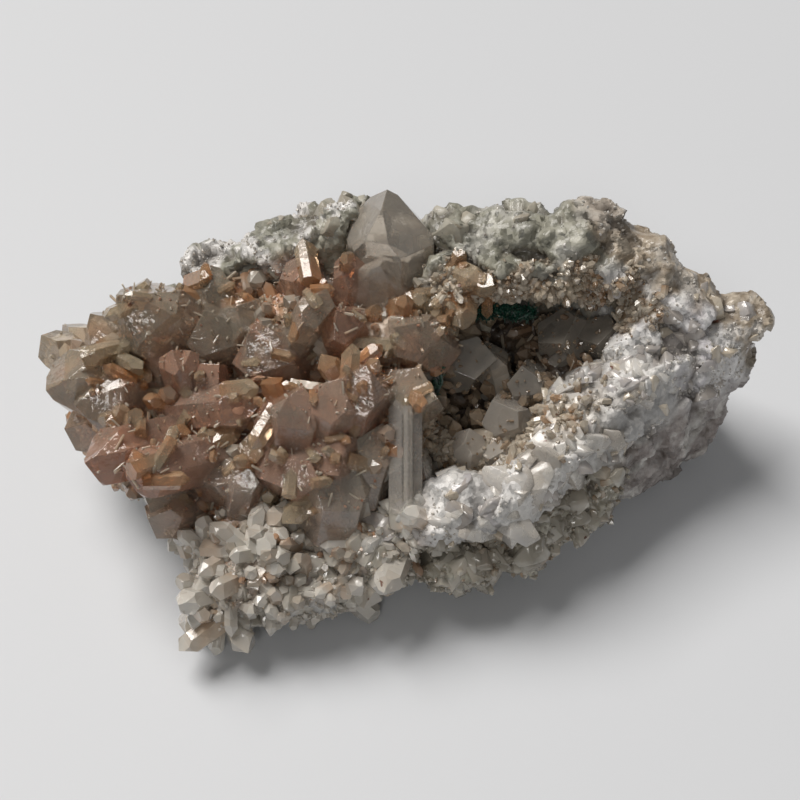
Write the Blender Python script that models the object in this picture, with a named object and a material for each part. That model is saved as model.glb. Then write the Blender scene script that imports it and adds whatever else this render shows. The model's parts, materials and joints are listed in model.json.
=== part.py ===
"""Celestine specimen: a palm-sized piece of crystal rock, in metres, +Z up.

The origin is on the table, under the middle of the flat broken base. +X runs along the specimen to its tan tip, and
+Y from the crystal face to the back ridge. Sizes below are in millimetres and angles in degrees.
"""

import itertools
import math
import random

import bmesh
import bpy
from mathutils import Matrix, Vector, noise
from mathutils.bvhtree import BVHTree

MM = 0.001
GAP = 0.35

# Rock: where the broken faces change direction.
ROCK_BASE = [(-31, -8), (-25, -20), (-15, -22), (-6, -14), (22, -8), (38, -2), (42, 8), (36, 19), (8, 22), (-18, 21),
             (-32, 9)]
ROCK_WAIST = [(-42, 0), (-37, -10), (-26, -20), (-2, -21), (17, -20), (36, -7), (43, -1), (46, 11), (37, 21), (8, 25),
              (-20, 23), (-40, 10)]
WAIST_HEIGHT = 9
ROCK_TOP = [(-42, 8, 15), (-35, 15, 20), (-23, 18, 26), (-6, 19, 31), (12, 18, 34), (24, 18, 35), (33, 13, 31),
            (43, 10, 26), (46, 7, 20), (36, -4, 21), (20, -14, 18), (4, -19, 15), (-22, -14, 11), (-40, -2, 12)]

# Boulders that stand out of the rock: centre, size and turn.
RIDGE_BOULDERS = [
    ((-34, 13, 18), (13, 10, 9), 20),
    ((-25, 16, 23.5), (16, 12, 11), -15),
    ((-16, 17.5, 27.5), (15, 12, 12), 15),
    ((-9, 18, 30), (14, 11, 12), 5),
    ((6, 16, 30), (14, 11, 13), -10),
    ((15, 16, 31), (13, 12, 12), 10),
    ((24, 15, 32), (16, 12, 13), 15),
    ((32, 12.5, 29), (13, 11, 12), -30),
    ((37, 10, 26), (13, 11, 9), -10),
]
TIP_BOULDERS = [
    ((44, 9, 23), (13, 10, 8), -10),
    ((43, 6, 17), (12, 10, 12), 10),
    ((38.5, 2, 9), (15, 12, 17), 25),
    ((30, -3, 8), (15, 9, 13), 25),
]
FRONT_BOULDERS = [
    ((8, -20, 8), (14, 10, 9), 15),
    ((16, -17, 8), (13, 10, 10), 30),
    ((24, -12, 9), (13, 9, 9), 30),
    ((-5, -20, 8), (14, 9, 9), -5),
]
BOULDER_CORNERS = 16

# The hollow: its rim on the sloping face, its floor, and how far it reaches under the upper lip.
HOLLOW_LEFT = [(2.5, -14, 17), (1.5, -9, 19.5), (2.5, -4.5, 22), (4.5, 2.5, 25.5), (6.5, 7, 28), (12.5, 8, 29.5),
               (20.5, 7.5, 30), (20, -3.5, 23.5), (18, -8, 21), (13, -11.5, 19), (5.5, -15, 17), (5, -9, 9),
               (13, -7, 9), (17, -1, 10), (17, 8, 13), (6, 7, 14), (8, 13, 22), (17, 14, 23)]
HOLLOW_RIGHT = [(12.5, 8, 29.5), (20.5, 7.5, 30), (26, 7.5, 29.5), (30.5, 7, 29), (30.5, 4.5, 27), (26.5, 0.5, 25),
                (20, -3.5, 23.5), (16, 3, 15), (22, 4, 16), (27, 6, 19), (27, 11, 23), (20, 13, 23), (14, 12, 20)]
OPEN_SIDE = (0, -0.62, 0.79)
OPEN_REACH = 7

# Crystal bed: the crust that the large crystals grow from.
BED = [(-46, 4, 14), (-43, -4, 11.5), (-38, -9, 10.5), (-31, -14, 10), (-21, -17, 12.5), (-10, -16, 15), (-2, -10, 18.5),
       (1, -4, 21.5), (2, 4, 25), (-3, 11, 28), (-13, 12, 26.5), (-24, 11, 22.5), (-34, 11, 19), (-43, 9, 16),
       (-41, 4, 7), (-34, -6, 4), (-22, -12, 5), (-3, -8, 10), (-2, 7, 16), (-30, 8, 9), (-40, 8, 9)]
BED_LUMPS = [
    ((-41, 3, 15), (12, 12, 9), 0),
    ((-31, 7, 20), (15, 11, 8), 20),
    ((-28, -4, 16), (16, 12, 8), -10),
    ((-15, 7, 24), (14, 12, 9), 10),
    ((-14, -7, 17), (17, 13, 9), 30),
    ((-4, 4, 25), (12, 13, 8), 0),
    ((-4, -9, 18), (12, 11, 9), -20),
    ((-35, -7, 12), (12, 9, 8), 40),
]

# Large crystals: foot, heading, rise, length, width, thickness and roll.
LEFT_END_CRYSTALS = [
    ((-44, 5.5, 15), 165, 45, 9, 5.5, 5, 10),
    ((-38.5, 6.5, 17.5), 175, 65, 9.5, 6.5, 5, 25),
    ((-30.5, 6.5, 21), -170, 55, 13, 11, 9, 15),
    ((-37, 5, 16.5), -140, 25, 15, 10, 8, 0),
    ((-35, 0.5, 15.5), -140, 35, 13, 9, 7.5, 30),
    ((-32, -7.5, 16), -135, 32, 14, 7.5, 6.5, 10),
    ((-23, -8, 15.5), -140, 27, 17.5, 6.5, 6, 0),
    ((-26, -9, 15), -135, 26, 11.5, 5.5, 5, 20),
    ((-40, -2.5, 13), -155, 28, 7.5, 6.5, 6, 0),
    ((-43, 8, 15), 145, 25, 7.5, 5, 5, 15),
]
MIDDLE_CRYSTALS = [
    ((-33, 0.5, 16.5), 100, 70, 9, 5, 4.5, 0),
    ((-29.5, -2, 18), 120, 75, 9, 5, 4, 20),
    ((-29.5, -2, 18), 55, 75, 9, 3.5, 2.5, 45),
    ((-28, -2, 18), 5, 65, 8.5, 4.5, 4, 10),
    ((-29.5, -3.5, 18), -20, 30, 13, 6.5, 6, 30),
    ((-37.5, 0.5, 17), 85, 75, 7, 4.5, 4, 0),
    ((-17, 1, 21), 170, 75, 10, 9.5, 8.5, 20),
    ((-20.5, -2, 18), -5, 65, 7, 5, 4.5, 0),
    ((-15, 2, 24), 15, 65, 12, 6.5, 4, 40),
    ((-7.5, 2.5, 26), -145, 75, 7, 6.5, 5.5, 10),
    ((-25, 5.5, 20), -165, 80, 9, 8.5, 7, 0),
    ((-21, 6.5, 22), -130, 75, 8, 6.5, 6, 20),
    ((-14.5, 10.5, 26.5), -45, 70, 7, 6, 5, 0),
    ((-8, 8, 27.5), 60, 70, 7, 6, 5, 30),
    ((-33, 9.5, 19.5), 130, 65, 7, 5.5, 5, 0),
    ((-26, 10, 23), 110, 60, 7, 6, 5, 25),
]
RIGHT_CRYSTALS = [
    ((-16, -8.5, 18.5), -160, 75, 8.5, 4.5, 4, 0),
    ((-15.5, -11, 17.5), 40, 75, 13, 7.5, 7, 20),
    ((-11, -10, 18.5), 30, 75, 13, 7, 6.5, 0),
    ((-7, -7.5, 20), 20, 80, 12, 8.5, 7.5, 30),
    ((-11, -8, 18.5), -75, 25, 11, 7.5, 7, 0),
    ((-19, -11, 17), -40, 25, 12, 6.5, 6, 15),
    ((-27, -11, 12.5), -30, 40, 9.5, 6.5, 5.5, 0),
    ((-29.5, -13, 11), -145, 50, 8.5, 5.5, 5, 20),
    ((-28.5, -14, 9.5), -135, 40, 9, 6, 5.5, 0),
    ((2.5, 2, 25), -150, 55, 8, 7.5, 6.5, 10),
    ((-2, -3.5, 21), -35, 35, 9, 8, 7, 0),
    ((-22, -16, 12), 35, 75, 9, 4.5, 4, 20),
    ((-10, -16, 14.5), 60, 68, 9.5, 10, 9.5, 10),
    ((-5, -13, 16.5), 60, 60, 8, 7, 6.5, 0),
]

# The two crystals that stand free of the cluster.
PEAK_CRYSTALS = [((-2.5, 12, 25), 90, 70, 15, 12, 11, 15), ((-4, 10.5, 26), -80, 70, 9.5, 9, 8, 0)]
TALL_PRISM = ((-0.3, -15.5, 17), 90, 38, 13, 5.5, 4.5, 0)

# Fringe below the cluster: its stones, and where its small crystals stand.
FRINGE_STONES = [
    ((-19, -20, 8), (20, 15, 11), 0),
    ((-23, -24, 6), (12, 11, 9), 10),
    ((-13, -23, 7), (15, 11, 9), 20),
    ((-5, -20, 10), (14, 9, 9), -10),
]
FRINGE_SPAN = ((-29, -1), (-30, -15))
FRINGE_COUNT = 32
LIP_SPAN = ((2, 30), (6, 12))
WHITE_SPAN = ((-1, 31), (-20, 0))

# White crust along the lower rim of the hollow, and the grainy crust that hangs from its upper lip.
WHITE_STONES = [
    ((3, -18.5, 14.5), (10, 8, 6), 0),
    ((10, -17.5, 15.5), (11, 8, 7), 10),
    ((16, -14, 17), (11, 8, 7), 35),
    ((21, -10, 18.5), (11, 8, 8), 40),
    ((26, -5, 20.5), (12, 8, 8), 40),
    ((30, -1.5, 22), (11, 8, 7), 45),
    ((7, -16, 16.5), (10, 7, 6), -10),
    ((14, -17, 14), (12, 7, 6), 25),
]
LIP_STONES = [
    ((6, 9.5, 29), (9, 7, 7), 10),
    ((12, 11.5, 30.5), (10, 8, 7), 0),
    ((19, 11, 31), (10, 8, 7), -10),
    ((26, 10.5, 30.5), (10, 7, 7), -10),
]

# Inside the hollow: lumps of crust, and the crystals on them.
HOLLOW_STONES = [
    ((6, -8, 11), (9, 12, 7), 0),
    ((13, -7, 11), (11, 10, 8), 20),
    ((15, 2, 12), (12, 14, 8), 0),
    ((22, 5, 16), (11, 11, 7), 10),
    ((8, 6, 15), (9, 12, 8), 0),
]
HOLLOW_CRYSTALS = [
    ((5, 5, 17.5), -20, 30, 9, 7.5, 7, 0),
    ((13, 2, 13.5), 125, 65, 9.5, 5.5, 5, 20),
    ((18, 1.5, 14.5), 170, 70, 7, 6, 5.5, 0),
    ((15, -3, 13), 170, 60, 7, 7, 6.5, 10),
    ((19, 4, 17), 10, 50, 6, 2.2, 2.2, 0),
    ((10.5, 4.5, 16), -160, 30, 5.5, 1.8, 1.8, 0),
    ((22, 9, 19), -100, 40, 7, 8, 7, 10),
    ((27, 7, 20.5), -110, 40, 5, 7, 6, 0),
    ((8, -9, 12.5), 80, 60, 6, 5, 4.5, 20),
    ((12, -8, 12.5), -60, 70, 5, 4.5, 4, 0),
]

# Green growths: centre, size and turn.
GREEN_TUFT = [
    ((8, 7, 25.5), (4.5, 3, 2.5), 10),
    ((11, 7.5, 26), (4, 3, 2.5), 30),
    ((14, 7.5, 26), (4, 3, 3), 0),
    ((16.5, 7, 26), (3, 2.5, 2), 20),
]
GREEN_BLADE = [(2.6, 4, 27.5), (3.6, 2, 25.5), (4.2, -1.5, 22.5), (3.2, -3.5, 20.5), (2.2, -1.5, 21.5), (2.4, 2, 24.5)]
BLADE_THICKNESS = 0.9

LONGEST_FACET = 11
ROUGHNESS = 0.9
ROUGHNESS_SPAN = 7.0

# Crystals: the slope of a tip face, how far each crystal starts below its foot, and the length under which a tip
# has three faces and not six.
TIP_SLOPE = 51.8
ROOT = 3
SHORT_CRYSTAL = 9.2

# Corners closer than this are merged, the widest of these that leaves the surface closed.
CLOSE_CORNERS = (0.3, 0.2, 0.15, 0.1, 0.07, 0.05, 0.02, 0.01, 0.002)


def clear_scene():
    for obj in list(bpy.data.objects):
        bpy.data.objects.remove(obj)


def new_object(name, mesh_maker):
    """An object whose mesh the given function fills in."""
    shape = bmesh.new()
    mesh_maker(shape)
    bmesh.ops.recalc_face_normals(shape, faces=shape.faces)
    mesh = bpy.data.meshes.new(name)
    shape.to_mesh(mesh)
    shape.free()
    obj = bpy.data.objects.new(name, mesh)
    bpy.context.scene.collection.objects.link(obj)
    return obj


def hull(shape, corners, grow=0.0):
    """Adds the convex block that these corners span, made larger by moving each corner away from the middle."""
    middle = sum((Vector(c) for c in corners), Vector()) / len(corners)
    verts = []
    for corner in corners:
        away = Vector(corner) - middle
        verts.append(shape.verts.new((Vector(corner) + 1.3 * grow * away.normalized()) * MM))
    made = bmesh.ops.convex_hull(shape, input=verts)
    inner = [v for v in made["geom_interior"] if isinstance(v, bmesh.types.BMVert)]
    bmesh.ops.delete(shape, geom=inner, context="VERTS")


def boulder(shape, centre, size, turn, dice, grow=0.0, corner_count=BOULDER_CORNERS):
    """Adds an angular boulder: the hull of points strewn evenly over a ball, then stretched and turned."""
    corners = []
    for i in range(corner_count):
        height = 1 - 2 * (i + dice.random()) / corner_count
        ring = math.sqrt(1 - height * height)
        around = i * math.radians(137.5) + dice.uniform(-0.3, 0.3)
        spot = Vector((ring * math.cos(around), ring * math.sin(around), height))
        spot = Vector(s * side / 2 for s, side in zip(spot, size))
        corners.append(Matrix.Rotation(math.radians(turn), 3, "Z") @ spot + Vector(centre))
    hull(shape, corners, grow)


def crystal(shape, row, dice, grow=0.0):
    """Adds a six-sided crystal with a pointed tip: the block that its side planes and tip planes enclose."""
    foot, heading, rise, length, width, thickness, roll = row
    tip_faces = 6 if length > SHORT_CRYSTAL else 3
    lean = math.radians(TIP_SLOPE)
    planes = [(Vector((0, 0, -1)), ROOT + grow)]
    for side in range(6):
        turn = math.radians(30 + 60 * side)
        out = Vector((math.cos(turn), math.sin(turn), 0))
        across = thickness if side % 3 == 1 else width
        planes.append((out, across / 2 * dice.uniform(0.86, 1.06) + grow))
        top = Vector((out.x * math.sin(lean), out.y * math.sin(lean), math.cos(lean)))
        height = length if side % 2 else length * dice.uniform(1.02, 1.14)
        if side % 2 or tip_faces == 6:
            planes.append((top, height * math.cos(lean) + grow))
    place = Matrix.Rotation(math.radians(heading), 3, "Z") @ Matrix.Rotation(math.radians(90 - rise), 3, "Y")
    place = place @ Matrix.Rotation(math.radians(roll), 3, "Z")
    corners = []
    for trio in itertools.combinations(planes, 3):
        normals = Matrix([normal for normal, _ in trio])
        if abs(normals.determinant()) < 0.02:
            continue
        corner = normals.inverted() @ Vector([distance for _, distance in trio])
        if all(normal.dot(corner) < distance + 1e-4 for normal, distance in planes):
            corners.append(place @ corner + Vector(foot))
    hull(shape, corners)


def joined(obj, other, operation):
    """Applies a Boolean to obj and removes the other shape."""
    cut = obj.modifiers.new(operation.lower(), "BOOLEAN")
    cut.operation = operation
    cut.object = other
    cut.use_self = True
    graph = bpy.context.evaluated_depsgraph_get()
    mesh = bpy.data.meshes.new_from_object(obj.evaluated_get(graph))
    obj.modifiers.clear()
    obj.data = mesh
    bpy.data.objects.remove(other)


def roughen(obj):
    """Splits the broad faces and shifts the corners a little, so no broken face stays a plane. The base stays flat."""
    shape = bmesh.new()
    shape.from_mesh(obj.data)
    bmesh.ops.remove_doubles(shape, verts=shape.verts, dist=0.25 * MM)
    bmesh.ops.dissolve_limit(shape, angle_limit=math.radians(1), verts=shape.verts, edges=shape.edges)
    bmesh.ops.triangulate(shape, faces=shape.faces)
    for _ in range(4):
        long_edges = [e for e in shape.edges if e.calc_length() > LONGEST_FACET * MM]
        if not long_edges:
            break
        bmesh.ops.subdivide_edges(shape, edges=long_edges, cuts=1)
        bmesh.ops.triangulate(shape, faces=shape.faces)
        bmesh.ops.beautify_fill(shape, faces=shape.faces, edges=shape.edges)
    for vert in shape.verts:
        if vert.co.z > 0.2 * MM:
            shift = noise.noise_vector(vert.co / (ROUGHNESS_SPAN * MM)) * ROUGHNESS * MM
            vert.co += shift
            vert.co.z = max(vert.co.z, 0.2 * MM)
    shape.to_mesh(obj.data)
    shape.free()


def fillers(piece):
    """One function for each block of a piece. Each block has its own seed, so its larger copy keeps its shape."""
    found = []
    if "bed" in piece:
        found.append(lambda shape, grow: hull(shape, piece["bed"], grow))
    for number, stone in enumerate(piece.get("stones", [])):
        found.append(
            lambda shape, grow, stone=stone, number=number: boulder(
                shape, *stone, random.Random(100 + number), grow, piece.get("stone_corners", BOULDER_CORNERS)
            )
        )
    for number, row in enumerate(piece.get("crystals", [])):
        found.append(
            lambda shape, grow, row=row, number=number: crystal(shape, row, random.Random(500 + number), grow)
        )
    return found


def build(piece, grow=0.0):
    """One piece as one solid, or the larger copy of it that cuts its pocket in a neighbour."""
    blocks = fillers(piece)
    obj = new_object(piece["name"], lambda shape: blocks[0](shape, grow))
    if blocks[1:]:
        rest = new_object("rest", lambda shape: [block(shape, grow) for block in blocks[1:]])
        joined(obj, rest, "UNION")
    return obj


def hollow_space(shape):
    for rim in (HOLLOW_LEFT, HOLLOW_RIGHT):
        outside = [Vector(c) + OPEN_REACH * Vector(OPEN_SIDE) for c in rim if c[2] > 16.5]
        hull(shape, rim + [tuple(c) for c in outside])


def rock_body():
    corners = [(x, y, 0) for x, y in ROCK_BASE]
    corners += [(x, y, WAIST_HEIGHT) for x, y in ROCK_WAIST]
    corners += ROCK_TOP
    stones = RIDGE_BOULDERS + TIP_BOULDERS + FRONT_BOULDERS
    rock = build({"name": "matrix_rock", "bed": corners, "stones": stones})
    roughen(rock)
    joined(rock, new_object("hollow", hollow_space), "DIFFERENCE")
    return rock


def strewn_rows(stones, span, count, seed, widths, slenderness):
    """Rows for small crystals strewn over the upper side of some stones, each leaning about square to it."""
    dice = random.Random(seed)
    ground = build({"name": "ground", "stones": stones})
    tree = BVHTree.FromObject(ground, bpy.context.evaluated_depsgraph_get())
    bpy.data.objects.remove(ground)
    rows = []
    for _ in range(count):
        above = Vector((dice.uniform(*span[0]), dice.uniform(*span[1]), 60)) * MM
        place, normal, _, _ = tree.ray_cast(above, Vector((0, 0, -1)))
        spread = Vector((dice.uniform(-1, 1), dice.uniform(-1, 1), dice.uniform(-0.3, 1)))
        width = dice.uniform(*widths)
        length = width * dice.uniform(*slenderness)
        thickness = width * dice.uniform(0.75, 1)
        roll = dice.uniform(0, 60)
        if place is None:
            continue
        axis = (normal + 0.45 * spread).normalized()
        heading = math.degrees(math.atan2(axis.y, axis.x))
        rise = math.degrees(math.asin(axis.z))
        rows.append((tuple(place / MM), heading, rise, length, width, thickness, roll))
    return rows


def drop_chips(shape):
    """Keeps the largest body of a mesh."""
    bodies = []
    left = set(shape.faces)
    while left:
        body = {left.pop()}
        front = list(body)
        while front:
            face = front.pop()
            near = {other for edge in face.edges for other in edge.link_faces} - body
            body |= near
            front += near
        left -= body
        bodies.append(body)
    bodies.sort(key=len)
    for body in bodies[:-1]:
        bmesh.ops.delete(shape, geom=list(body), context="FACES")


def merged(obj, closeness):
    """Merges the corners this close and the faces that lie in one plane, if the surface stays closed."""
    shape = bmesh.new()
    shape.from_mesh(obj.data)
    bmesh.ops.remove_doubles(shape, verts=shape.verts, dist=closeness * MM)
    bmesh.ops.dissolve_limit(shape, angle_limit=math.radians(2), verts=shape.verts, edges=shape.edges)
    bmesh.ops.delete(shape, geom=[edge for edge in shape.edges if not edge.link_faces], context="EDGES")
    bmesh.ops.triangulate(shape, faces=shape.faces)
    drop_chips(shape)
    whole = all(len(edge.link_faces) == 2 for edge in shape.edges) and all(vert.is_manifold for vert in shape.verts)
    if whole:
        shape.to_mesh(obj.data)
    shape.free()
    return whole


def apart(one, other):
    """Whether the boxes round two objects are clear of each other."""
    for axis in range(3):
        ones = [corner[axis] for corner in one.bound_box]
        others = [corner[axis] for corner in other.bound_box]
        if min(ones) > max(others) or min(others) > max(ones):
            return True
    return False


def cut_pockets(obj, neighbours):
    """Cuts each neighbour's larger copy from obj, then drops the loose chips and merges what is tiny."""
    for neighbour in neighbours:
        cutter = build(neighbour, GAP)
        if apart(obj, cutter):
            bpy.data.objects.remove(cutter)
        else:
            joined(obj, cutter, "DIFFERENCE")
    shape = bmesh.new()
    shape.from_mesh(obj.data)
    drop_chips(shape)
    shape.to_mesh(obj.data)
    shape.free()
    for closeness in CLOSE_CORNERS:
        if merged(obj, closeness):
            break


clear_scene()
blade = [(x + side * BLADE_THICKNESS / 2, y, z) for x, y, z in GREEN_BLADE for side in (-1, 1)]
fringe_rows = strewn_rows(FRINGE_STONES, FRINGE_SPAN, FRINGE_COUNT, 31, (2.2, 4.2), (0.8, 1.4))
lip_rows = strewn_rows(LIP_STONES, LIP_SPAN, 8, 32, (1.6, 2.8), (0.6, 1))
white_rows = strewn_rows(WHITE_STONES, WHITE_SPAN, 12, 33, (2.5, 4), (0.4, 0.8))
pieces = [
    {"name": "peak_crystal", "crystals": PEAK_CRYSTALS},
    {"name": "tall_prism", "crystals": [TALL_PRISM]},
    {"name": "green_blade", "bed": blade},
    {"name": "green_tuft", "stones": GREEN_TUFT, "stone_corners": 16},
    {
        "name": "crystal_cluster",
        "bed": BED,
        "stones": BED_LUMPS,
        "stone_corners": 12,
        "crystals": LEFT_END_CRYSTALS + MIDDLE_CRYSTALS + RIGHT_CRYSTALS,
    },
    {"name": "front_fringe", "stones": FRINGE_STONES, "crystals": fringe_rows},
    {"name": "hollow_crust", "stones": HOLLOW_STONES, "stone_corners": 14, "crystals": HOLLOW_CRYSTALS},
    {"name": "lip_druse", "stones": LIP_STONES, "crystals": lip_rows},
    {"name": "white_crust", "stones": WHITE_STONES, "stone_corners": 14, "crystals": white_rows},
]
rock = rock_body()
cut_pockets(rock, pieces)
for number, piece in enumerate(pieces):
    cut_pockets(build(piece), pieces[:number])
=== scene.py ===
"""Celestine specimen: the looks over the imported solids, in metres, +Z up.

Sizes are in millimetres and angles in degrees. The sections follow the specimen from its rock outwards.
"""

import json
import math
import random

import bmesh
import bpy
import numpy as np
from mathutils import Matrix, Vector, noise

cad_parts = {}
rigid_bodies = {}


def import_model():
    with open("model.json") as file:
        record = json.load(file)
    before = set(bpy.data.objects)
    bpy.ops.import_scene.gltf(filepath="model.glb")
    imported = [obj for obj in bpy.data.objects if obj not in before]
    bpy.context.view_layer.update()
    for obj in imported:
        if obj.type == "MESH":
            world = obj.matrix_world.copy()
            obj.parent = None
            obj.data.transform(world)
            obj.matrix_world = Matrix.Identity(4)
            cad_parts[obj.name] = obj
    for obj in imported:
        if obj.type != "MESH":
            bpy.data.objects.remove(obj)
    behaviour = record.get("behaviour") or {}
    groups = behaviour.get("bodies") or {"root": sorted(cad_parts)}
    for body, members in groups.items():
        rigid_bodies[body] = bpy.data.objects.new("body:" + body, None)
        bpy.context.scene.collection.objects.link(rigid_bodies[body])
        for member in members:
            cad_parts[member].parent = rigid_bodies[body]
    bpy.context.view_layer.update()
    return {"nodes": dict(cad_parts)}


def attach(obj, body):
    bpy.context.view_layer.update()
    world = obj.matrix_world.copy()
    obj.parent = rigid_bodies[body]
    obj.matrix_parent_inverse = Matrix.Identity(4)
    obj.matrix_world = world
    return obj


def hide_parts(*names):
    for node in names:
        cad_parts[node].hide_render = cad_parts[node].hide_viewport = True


for obj in list(bpy.data.objects):
    bpy.data.objects.remove(obj)
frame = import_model()
nodes = frame["nodes"]
MM = 0.001


# Camera: the photograph looks down on the specimen from the front, half way to straight above. It
# stands close, with a lens a little longer than normal.
CAMERA_RISE = 52
CAMERA_AIM = Vector((-0.0008, 0, 0.016))
CAMERA_DISTANCE = 0.183
rise = math.radians(CAMERA_RISE)
away = Vector((0, -math.cos(rise), math.sin(rise)))
camera = bpy.data.objects.new("camera", bpy.data.cameras.new("camera"))
camera.location = CAMERA_AIM + CAMERA_DISTANCE * away
camera.rotation_euler = away.to_track_quat("Z", "Y").to_euler()
camera.data.lens = 60
camera.data.sensor_width = 36
camera.data.clip_start = 0.01
bpy.context.scene.collection.objects.link(camera)
bpy.context.scene.camera = camera
bpy.context.scene.view_settings.view_transform = "Standard"


# Table: a plain pale sheet under the specimen, a little glossy. The specimen rests on it by its own
# flat base, with nothing to hold it.
def node(tree, kind, settings=None, **values):
    """Adds a shader node. Each value is a number, a colour or another node's socket."""
    made = tree.nodes.new("ShaderNode" + kind)
    for name, value in (settings or {}).items():
        setattr(made, name, value)
    for name, value in values.items():
        connect(tree, value, made.inputs[name.replace("_", " ")])
    return made


def connect(tree, value, socket):
    if isinstance(value, bpy.types.NodeSocket):
        tree.links.new(value, socket)
    elif socket.type == "RGBA":
        socket.default_value = (*value, 1)
    else:
        socket.default_value = value


def new_material(name):
    """A material with its tree and its shader."""
    made = bpy.data.materials.new(name)
    made.use_nodes = True
    return made, made.node_tree, made.node_tree.nodes["Principled BSDF"]


table_finish, tree, shader = new_material("pale table")
shader.inputs["Base Color"].default_value = (0.64, 0.66, 0.69, 1)
shader.inputs["Roughness"].default_value = 0.6
sheet = bmesh.new()
bmesh.ops.create_grid(sheet, x_segments=1, y_segments=1, size=1.5)
sheet_mesh = bpy.data.meshes.new("table")
sheet.to_mesh(sheet_mesh)
sheet.free()
sheet_mesh.materials.append(table_finish)
table = bpy.data.objects.new("table", sheet_mesh)
bpy.context.scene.collection.objects.link(table)


# Light: one broad window far behind on the left, a weak fill from the front, and the pale room round
# it. A row is a light's place, side, power in watts and colour.
room = bpy.data.worlds.new("room")
room.use_nodes = True
room.node_tree.nodes["Background"].inputs["Color"].default_value = (1.0, 0.985, 0.965, 1)
room.node_tree.nodes["Background"].inputs["Strength"].default_value = 0.115
bpy.context.scene.world = room
WINDOWS = [
    ("window", (-1.75, 1.62, 3.80), 2.5, 216, (1.0, 0.965, 0.925)),
    ("fill", (-0.30, -2.10, 2.00), 0.65, 11, (1.0, 0.98, 0.95)),
]
for name, spot, size, watts, colour in WINDOWS:
    lamp = bpy.data.lights.new(name, "AREA")
    lamp.size = size
    lamp.energy = watts
    lamp.color = colour
    window = bpy.data.objects.new(name, lamp)
    window.location = spot
    window.rotation_euler = (Vector(spot) - CAMERA_AIM).to_track_quat("Z", "Y").to_euler()
    bpy.context.scene.collection.objects.link(window)


# Rock: broken grey quartz rock with the crusts that grew on it, one piece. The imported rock, a bed under
# the crystals, a slab at the right and copies of the crusts' stones are run together as one skin, which
# is then broken into facets, grains and pits. Its corners keep how much of each region is there.
BED = [
    (-46, 4, 14), (-43, -4, 11.5), (-38, -9, 10.5), (-31, -14, 10), (-21, -17, 12.5), (-10, -16, 15),
    (-2, -10, 18.5), (1, -4, 21.5), (2, 4, 25), (-3, 11, 28), (-13, 12, 26.5), (-24, 11, 22.5),
    (-34, 11, 19), (-43, 9, 16), (-41, 4, 7), (-34, -6, 4), (-22, -12, 5), (-3, -8, 10),
    (-2, 7, 16), (-30, 8, 9), (-40, 8, 9),
]
BED_LUMPS = [
    ((-41, 3, 15), (12, 12, 9), 0),
    ((-31, 7, 20), (15, 11, 8), 20),
    ((-28, -4, 16), (16, 12, 8), -10),
    ((-15, 7, 24), (14, 12, 9), 10),
    ((-14, -7, 17), (17, 13, 9), 30),
    ((-4, 4, 25), (12, 13, 8), 0),
    ((-4, -9, 18), (12, 11, 9), -20),
    ((-35, -7, 12), (12, 9, 8), 40),
]
FRINGE_STONES = [
    ((-19, -20, 8), (20, 15, 11), 0),
    ((-23, -24, 6), (12, 11, 9), 10),
    ((-13, -23, 7), (15, 11, 9), 20),
    ((-5, -20, 10), (14, 9, 9), -10),
]
WHITE_STONES = [
    ((3, -18.5, 14.5), (10, 8, 6), 0),
    ((10, -17.5, 15.5), (11, 8, 7), 10),
    ((16, -14, 17), (11, 8, 7), 35),
    ((21, -10, 18.5), (11, 8, 8), 40),
    ((26, -5, 20.5), (12, 8, 8), 40),
    ((30, -1.5, 22), (11, 8, 7), 45),
    ((7, -16, 16.5), (10, 7, 6), -10),
    ((14, -17, 14), (12, 7, 6), 25),
]
LIP_STONES = [
    ((6, 9.5, 29), (9, 7, 7), 10),
    ((12, 11.5, 30.5), (10, 8, 7), 0),
    ((19, 11, 31), (10, 8, 7), -10),
    ((26, 10.5, 30.5), (10, 7, 7), -10),
]
HOLLOW_STONES = [
    ((6, -8, 11), (9, 12, 7), 0),
    ((13, -7, 11), (11, 10, 8), 20),
    ((15, 2, 12), (12, 14, 8), 0),
    ((22, 5, 16), (11, 11, 7), 10),
    ((8, 6, 15), (9, 12, 8), 0),
]
FACE_SLAB = [
    (31, 5.1, 27.3),
    (36, 6.1, 28.4),
    (40.5, 5.9, 27.9),
    (45, 4.8, 24.4),
    (44, 0.9, 19.6),
    (38, -1, 21.3),
    (32.5, -2, 23.4),
    (29.5, 1.6, 25.3),
    (34, 6.7, 20.5),
    (41, 4.9, 17.8),
]
SKIN_GROWTH = 0.4
SKIN_MM = 0.47
CORNER_GROWTH = 1.3
GOLDEN_ANGLE = 137.5
ABOVE_TABLE = 0.02


def hull(shape, corners, grow=0.0):
    """Adds the convex block that these corners span, each moved away from the middle by the growth."""
    middle = sum((Vector(c) for c in corners), Vector()) / len(corners)
    verts = []
    for corner in corners:
        outwards = Vector(corner) - middle
        moved_out = Vector(corner) + CORNER_GROWTH * grow * outwards.normalized()
        verts.append(shape.verts.new(moved_out * MM))
    made = bmesh.ops.convex_hull(shape, input=verts)
    inner = [v for v in made["geom_interior"] if isinstance(v, bmesh.types.BMVert)]
    bmesh.ops.delete(shape, geom=inner, context="VERTS")


def stones(shape, rows, corner_count, grow):
    """Adds angular boulders, the same as in the solids but for their growth."""
    for number, (centre, size, turn) in enumerate(rows):
        dice = random.Random(100 + number)
        corners = []
        for i in range(corner_count):
            height = 1 - 2 * (i + dice.random()) / corner_count
            ring = math.sqrt(1 - height * height)
            around = i * math.radians(GOLDEN_ANGLE) + dice.uniform(-0.3, 0.3)
            spot = Vector((ring * math.cos(around), ring * math.sin(around), height))
            spot = Vector(s * side / 2 for s, side in zip(spot, size))
            corners.append(Matrix.Rotation(math.radians(turn), 3, "Z") @ spot + Vector(centre))
        hull(shape, corners, grow)


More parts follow.
